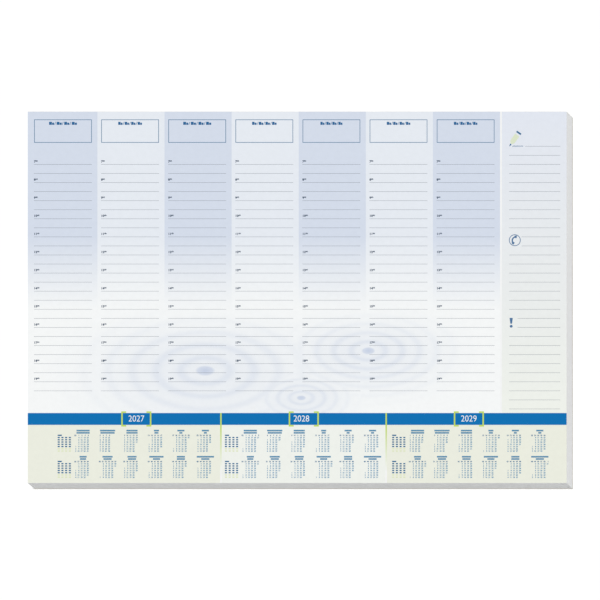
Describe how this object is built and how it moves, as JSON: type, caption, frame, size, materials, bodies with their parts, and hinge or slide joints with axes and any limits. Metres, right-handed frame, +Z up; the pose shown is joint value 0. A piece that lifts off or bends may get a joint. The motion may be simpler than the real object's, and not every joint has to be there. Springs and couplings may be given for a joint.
{
  "type": "paper desk pad",
  "caption": "Large flat tear-off planner pad: a block of printed paper leaves on a grey board, held by glue along its head edge.",
  "frame": {"origin": "centre of the pad's footprint, on the desk", "axes": "+X along the long side, to the right of the person writing; +Y towards the glued head edge; +Z up out of the printed face"},
  "size_m": [0.595, 0.4104, 0.0068],
  "materials": {
    "printed_paper": "matte uncoated offset paper, printed in pale blue and green tints",
    "greyboard": "matte pale greyboard of recycled pulp",
    "padding_glue": "dried padding glue, satin"
  },
  "bodies": {
    "root": {"sheet_block": "printed_paper", "backing_board": "greyboard", "head_glue": "padding_glue"}
  },
  "joints": []
}
